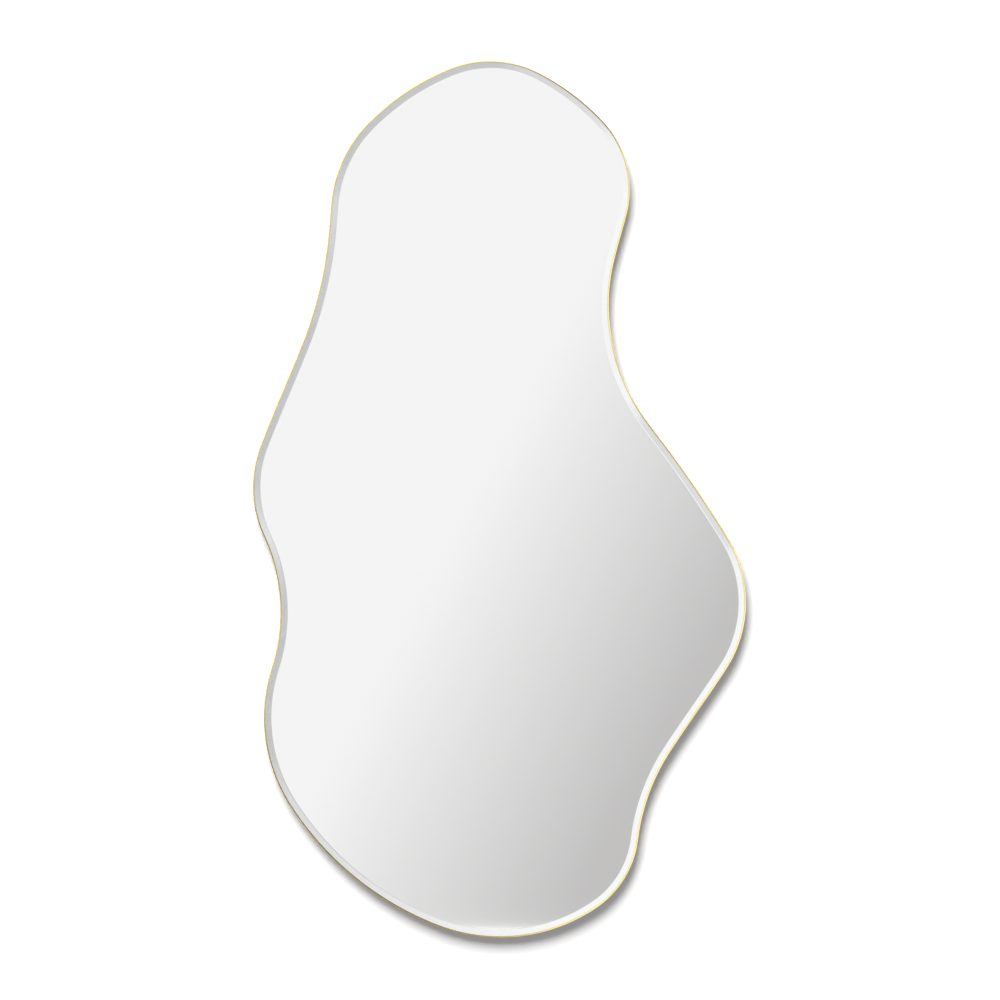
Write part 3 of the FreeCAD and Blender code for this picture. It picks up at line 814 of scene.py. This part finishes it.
@dataclass
class Screws:
    """Pan-head screws with a cross recess, one piece for each group."""

    groups: tuple[str, ...] = (
        "board_screws_left",
        "board_screws_right",
        "splice_screws_top",
        "splice_screws_bottom",
        "hanger_screws_left",
        "hanger_screws_right",
    )
    sides: int = 32
    head_radius: float = 2.8 * MM
    head_height: float = 1.9 * MM
    dome: float = 0.95 * MM
    shank_radius: float = 1.45 * MM
    shank_length: float = 7.0 * MM
    tip_length: float = 2.0 * MM
    recess_span: float = 3.3 * MM
    recess_width: float = 0.75 * MM
    recess_depth: float = 1.1 * MM
    recess_taper: float = 0.45
    dome_steps: int = 5
    turn_step: float = 37.0
    smooth_angle: float = 32.0

    def build(self) -> list[bpy.types.Object]:
        """Make every group from one screw."""
        pattern = self._pattern()
        made = [self._group(node, pattern) for node in self.groups]
        bpy.data.objects.remove(pattern)
        return made

    def _pattern(self) -> bpy.types.Object:
        """One screw that points forwards, with the top of its head at the origin."""
        bpy.ops.object.select_all(action="DESELECT")
        bpy.ops.mesh.primitive_cylinder_add(
            vertices=self.sides,
            radius=self.head_radius,
            depth=self.head_height,
            location=(0, 0, -self.head_height / 2),
        )
        screw = bpy.context.object
        screw.name = "screw_pattern"
        bpy.ops.object.transform_apply()
        bpy.ops.object.mode_set(mode="EDIT")
        bpy.ops.mesh.select_mode(type="FACE")
        self._select_cap(screw, 0.0)
        bpy.ops.mesh.bevel(
            offset=self.dome, segments=self.dome_steps, profile=0.5, affect="EDGES"
        )
        self._select_cap(screw, -self.head_height)
        bpy.ops.mesh.inset(thickness=self.head_radius - self.shank_radius)
        down = (0, 0, self.tip_length - self.head_height - self.shank_length)
        bpy.ops.mesh.extrude_region_move(TRANSFORM_OT_translate={"value": down})
        bpy.ops.mesh.extrude_region_move(
            TRANSFORM_OT_translate={"value": (0, 0, -self.tip_length)}
        )
        bpy.ops.mesh.merge(type="COLLAPSE")
        bpy.ops.object.mode_set(mode="OBJECT")
        for turn in (0.0, math.pi / 2):
            self._cut_slot(screw, turn)
        select_only(screw)
        screw.rotation_euler = (-math.pi / 2, 0, 0)
        bpy.ops.object.transform_apply()
        return screw

    @staticmethod
    def _select_cap(screw: bpy.types.Object, z: float) -> None:
        """Select the flat face at a height."""
        mesh = bmesh.from_edit_mesh(screw.data)
        bpy.ops.mesh.select_all(action="DESELECT")
        for face in mesh.faces:
            level = abs(face.calc_center_median().z - z) < SAME_PLACE
            face.select = level and abs(face.normal.z) > 0.99
        bmesh.update_edit_mesh(screw.data)

    def _cut_slot(self, screw: bpy.types.Object, turn: float) -> None:
        """Cut one tapered arm of the cross recess."""
        bpy.ops.object.select_all(action="DESELECT")
        bpy.ops.mesh.primitive_cube_add(size=1.0, rotation=(0, 0, turn))
        cutter = bpy.context.object
        cutter.scale = (self.recess_span, self.recess_width, 2 * self.recess_depth)
        bpy.ops.object.transform_apply()
        bpy.ops.object.mode_set(mode="EDIT")
        bpy.ops.mesh.select_mode(type="FACE")
        self._select_cap(cutter, -self.recess_depth)
        bpy.ops.transform.resize(value=(self.recess_taper, self.recess_taper, 1.0))
        bpy.ops.object.mode_set(mode="OBJECT")
        select_only(screw)
        recess = screw.modifiers.new("recess", "BOOLEAN")
        recess.operation = "DIFFERENCE"
        recess.object = cutter
        recess.solver = "EXACT"
        bpy.ops.object.modifier_apply(modifier=recess.name)
        bpy.data.objects.remove(cutter)

    def _group(self, node: str, pattern: bpy.types.Object) -> bpy.types.Object:
        """A copy of the screw on each of a group's places, joined into one piece."""
        copies = []
        for number, top in enumerate(self._tops(node)):
            copy = pattern.copy()
            copy.data = pattern.data.copy()
            bpy.context.collection.objects.link(copy)
            turn = self.turn_step * number + 11 * len(node)
            copy.rotation_euler = (0, math.radians(turn), 0)
            copy.location = top
            copies.append(copy)
        bpy.ops.object.select_all(action="DESELECT")
        for copy in copies:
            copy.select_set(True)
        bpy.context.view_layer.objects.active = copies[0]
        bpy.ops.object.transform_apply()
        bpy.ops.object.join()
        group = bpy.context.object
        group.name = group.data.name = f"{node}_detailed"
        dress(group, ZINC)
        smooth(group, self.smooth_angle)
        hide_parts(node)
        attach(group, "mirror")
        return group

    def _tops(self, node: str) -> list[Vector]:
        """The middle of the top of each screw's head, from the group's solids."""
        clusters: list[list[Vector]] = []
        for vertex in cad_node(node).data.vertices:
            for cluster in clusters:
                near = cluster[0] - vertex.co
                if math.hypot(near.x, near.z) < 2.2 * self.head_radius:
                    cluster.append(vertex.co)
                    break
            else:
                clusters.append([vertex.co])
        tops = []
        for cluster in clusters:
            xs, ys, zs = zip(*cluster)
            middle_x, middle_z = (min(xs) + max(xs)) / 2, (min(zs) + max(zs)) / 2
            tops.append(Vector((middle_x, max(ys), middle_z)))
        return tops


@dataclass
class Hardware:
    """The solids that are shown as they are, each with its finish."""

    finishes: tuple[tuple[str, Finish], ...] = (
        ("splice_plate_top", ZINC),
        ("splice_plate_bottom", ZINC),
        ("backing_board", BOARD),
        ("mounting_tape_1", TAPE),
        ("mounting_tape_2", TAPE),
        ("mounting_tape_3", TAPE),
        ("mounting_tape_4", TAPE),
        ("mounting_tape_5", TAPE),
        ("adhesive_dabs", ADHESIVE),
        ("silver_backing", BACK_PAINT),
        ("hanger_strap_left", NICKEL),
        ("hanger_strap_right", NICKEL),
        ("hanger_ring_left", NICKEL),
        ("hanger_ring_right", NICKEL),
        ("wall_pad_upper_left", RUBBER),
        ("wall_pad_upper_right", RUBBER),
        ("wall_pad_lower_left", RUBBER),
        ("wall_pad_lower_right", RUBBER),
    )

    def build(self) -> list[bpy.types.Object]:
        """Give each solid its finish."""
        for name, finish in self.finishes:
            dress(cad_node(name), finish)
        return [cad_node(name) for name, _ in self.finishes]


# ---------------------------------------------------------------- the studio


@dataclass
class Studio:
    """Wall, floor, lamps, surroundings and camera."""

    wall_y: float = 10.1 * MM
    room_width: float = 6.0
    room_height: float = 3.2
    floor_z: float = -0.75
    floor_depth: float = 3.2
    floor_colour: Colour = (1.0, 0.99, 0.97)
    view_distance: float = 3.5
    frame_width: float = 912.0 * MM
    aim_x: float = 0.445 * MM
    aim_z: float = -0.694 * MM
    front_y: float = -10.1 * MM
    key_power: float = 225.0
    key_distance: float = 5.0
    key_azimuth: float = 12.0
    key_elevation: float = 30.0
    key_size: tuple[float, float] = (2.1, 2.4)
    sensor_width: float = 36.0
    back_place: tuple[float, float, float] = (0.9, 2.4, 1.1)
    back_power: float = 60.0
    back_size: tuple[float, float] = (2.0, 2.0)
    fill: float = 0.18

    def build(self) -> None:
        """Make everything that isn't the object."""
        self._wall_and_floor()
        self._lamps()
        self._surroundings()
        self._camera()

    def _wall_and_floor(self) -> None:
        """The white wall, which isn't there from behind, and the pale floor before it."""
        up = self.room_height / 2 + self.floor_z
        wall_size = (self.room_width, self.room_height)
        wall = self._sheet("wall", (0, self.wall_y, up), (math.pi / 2, 0, 0), wall_size)
        wall.visible_diffuse = False
        wall.visible_shadow = False
        dress(wall, Paint("wall_paint", shows_from_behind=False))
        middle = self.wall_y - self.floor_depth / 2
        floor_size = (self.room_width, self.floor_depth)
        floor = self._sheet("floor", (0, middle, self.floor_z), (0, 0, 0), floor_size)
        floor.visible_diffuse = floor.visible_glossy = False
        dress(floor, Paint("floor_paint", self.floor_colour))

    @staticmethod
    def _sheet(name: str, place: tuple, turn: tuple, size: tuple) -> bpy.types.Object:
        """A large flat plane of the studio."""
        bpy.ops.object.select_all(action="DESELECT")
        bpy.ops.mesh.primitive_plane_add(size=1.0, location=place, rotation=turn)
        sheet = bpy.context.object
        sheet.name = name
        sheet.scale = (*size, 1.0)
        bpy.ops.object.transform_apply()
        return sheet

    def _lamps(self) -> None:
        """A soft key in front, high and a little left, and a lamp for what faces the wall."""
        turn, rise = math.radians(self.key_azimuth), math.radians(self.key_elevation)
        level = math.cos(rise)
        towards = Vector((-math.sin(turn) * level, -math.cos(turn) * level, math.sin(rise)))
        self._lamp("key", towards * self.key_distance, self.key_power, self.key_size)
        self._lamp("back", Vector(self.back_place), self.back_power, self.back_size)

    @staticmethod
    def _lamp(name: str, place: Vector, power: float, size: tuple[float, float]) -> None:
        """An area lamp that points at the mirror and doesn't show in it."""
        data = bpy.data.lights.new(name, "AREA")
        data.shape = "RECTANGLE"
        data.size, data.size_y = size
        data.energy = power
        lamp = bpy.data.objects.new(name, data)
        bpy.context.scene.collection.objects.link(lamp)
        lamp.location = place
        lamp.rotation_euler = (-place).to_track_quat("-Z", "Y").to_euler()
        lamp.visible_camera = False
        lamp.visible_glossy = False
        lamp.visible_transmission = False

    def _surroundings(self) -> None:
        """Give the world what mirror and metal show, and white where the camera sees it."""
        world = bpy.data.worlds.new("studio")
        bpy.context.scene.world = world
        world.use_nodes = True
        graph = Graph(world.node_tree)
        shade = Surroundings().shade(graph)
        spread = graph.output("ShaderNodeLightPath", "Diffuse Depth").ramp(0.0, 1.0)
        camera = graph.output("ShaderNodeLightPath", "Is Camera Ray")
        seen = graph.blend(spread, shade, (self.fill, self.fill, self.fill))
        seen = graph.blend(camera, seen, (1.0, 1.0, 1.0))
        sky = graph.add("ShaderNodeBackground", {}, {"Color": seen, "Strength": 1.0})
        graph.add("ShaderNodeOutputWorld", {}, {"Surface": sky})

    def _camera(self) -> None:
        """The photograph's level view, straight at the mirror."""
        data = bpy.data.cameras.new("camera")
        data.sensor_width = self.sensor_width
        data.lens = self.sensor_width * self.view_distance / self.frame_width
        camera = bpy.data.objects.new("camera", data)
        bpy.context.scene.collection.objects.link(camera)
        camera.location = (self.aim_x, self.front_y - self.view_distance, self.aim_z)
        camera.rotation_euler = (math.pi / 2, 0, 0)
        bpy.context.scene.camera = camera


@dataclass(frozen=True)
class Surroundings:
    """The room before the mirror, as brightness by direction.

    A direction is given by its parts across (x) and up (z), so a point straight before the
    mirror is at 0, 0. The pane shows what lies within 0.12 of it, the bevel what lies about
    0.3 away on the other side, and the rolled edge of the frame what lies beyond.
    """

    pale: Colour = (0.955, 0.955, 0.955)
    grey: Colour = (0.566, 0.556, 0.556)
    pane_fall: float = 28.0
    pane_start: float = -0.0065
    pane_end: float = 0.067
    bevel_fall: float = 62.0
    bevel_start: float = -0.06
    bevel_end: float = 0.125
    bevel_left: tuple[float, float] = (-0.235, -0.195)
    bevel_zone: tuple[float, float] = (0.13, 0.22)
    rim_zone: tuple[float, float] = (0.34, 0.40)
    rim_levels: tuple[tuple[float, float], ...] = (
        (0, 1.5),
        (29, 1.1),
        (41, 0.06),
        (60, 0.08),
        (76, 1.1),
        (170, 0.9),
        (182, 0.5),
        (200, 0.10),
        (228, 0.07),
        (262, 0.08),
        (286, 1.5),
        (360, 1.5),
    )
    rim_gain: float = 1.15

    def shade(self, graph: Graph) -> Signal:
        """The room's colour for the direction of a ray."""
        x, _, z = graph.split(graph.output("ShaderNodeTexCoord", "Generated"))
        off_axis = (x * x + z * z) ** 0.5
        pane = self._along(x, z, self.pane_fall).ramp(self.pane_start, self.pane_end)
        bevel = self._along(x, z, self.bevel_fall).ramp(self.bevel_start, self.bevel_end)
        bevel = bevel * x.ramp(*self.bevel_left)
        share = off_axis.ramp(*self.bevel_zone)
        near = graph.blend(pane * (1.0 - share) + bevel * share, self.pale, self.grey)
        turn = (z.angle_to(x) / math.tau).wrapped()
        stops = [(angle / 360, (level,) * 3) for angle, level in self.rim_levels]
        lobes = graph.add("ShaderNodeValToRGB", {"stops": stops}, {"Fac": turn})
        rim = graph.add(
            "ShaderNodeMix",
            {"data_type": "RGBA", "blend_type": "MULTIPLY"},
            {"Factor": 1.0, "A": lobes, "B": (self.rim_gain,) * 3},
        )
        return graph.blend(off_axis.ramp(*self.rim_zone), near, rim)

    @staticmethod
    def _along(x: Signal, z: Signal, fall: float) -> Signal:
        """How far a direction lies along an axis that falls to the right by an angle."""
        return x * math.cos(math.radians(fall)) - z * math.sin(math.radians(fall))


# ---------------------------------------------------------------- the whole


def main() -> None:
    """Load the solids, dress them and set up the studio."""
    logging.basicConfig(level=logging.INFO, format="%(name)s: %(message)s")
    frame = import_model()
    NODES.update(frame["nodes"])
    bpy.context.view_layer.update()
    bpy.context.scene.view_settings.view_transform = "Standard"

    outline = Outline()
    LOG.info("outline is %.1f mm long", outline.length / MM)
    for assembly in (Pane(outline), Frame(outline), Screws(), Hardware()):
        made = assembly.build()
        for piece in made if isinstance(made, list) else [made]:
            LOG.info("%s: %d faces", piece.name, len(piece.data.polygons))
    Studio().build()


if __name__ == "__main__":
    main()
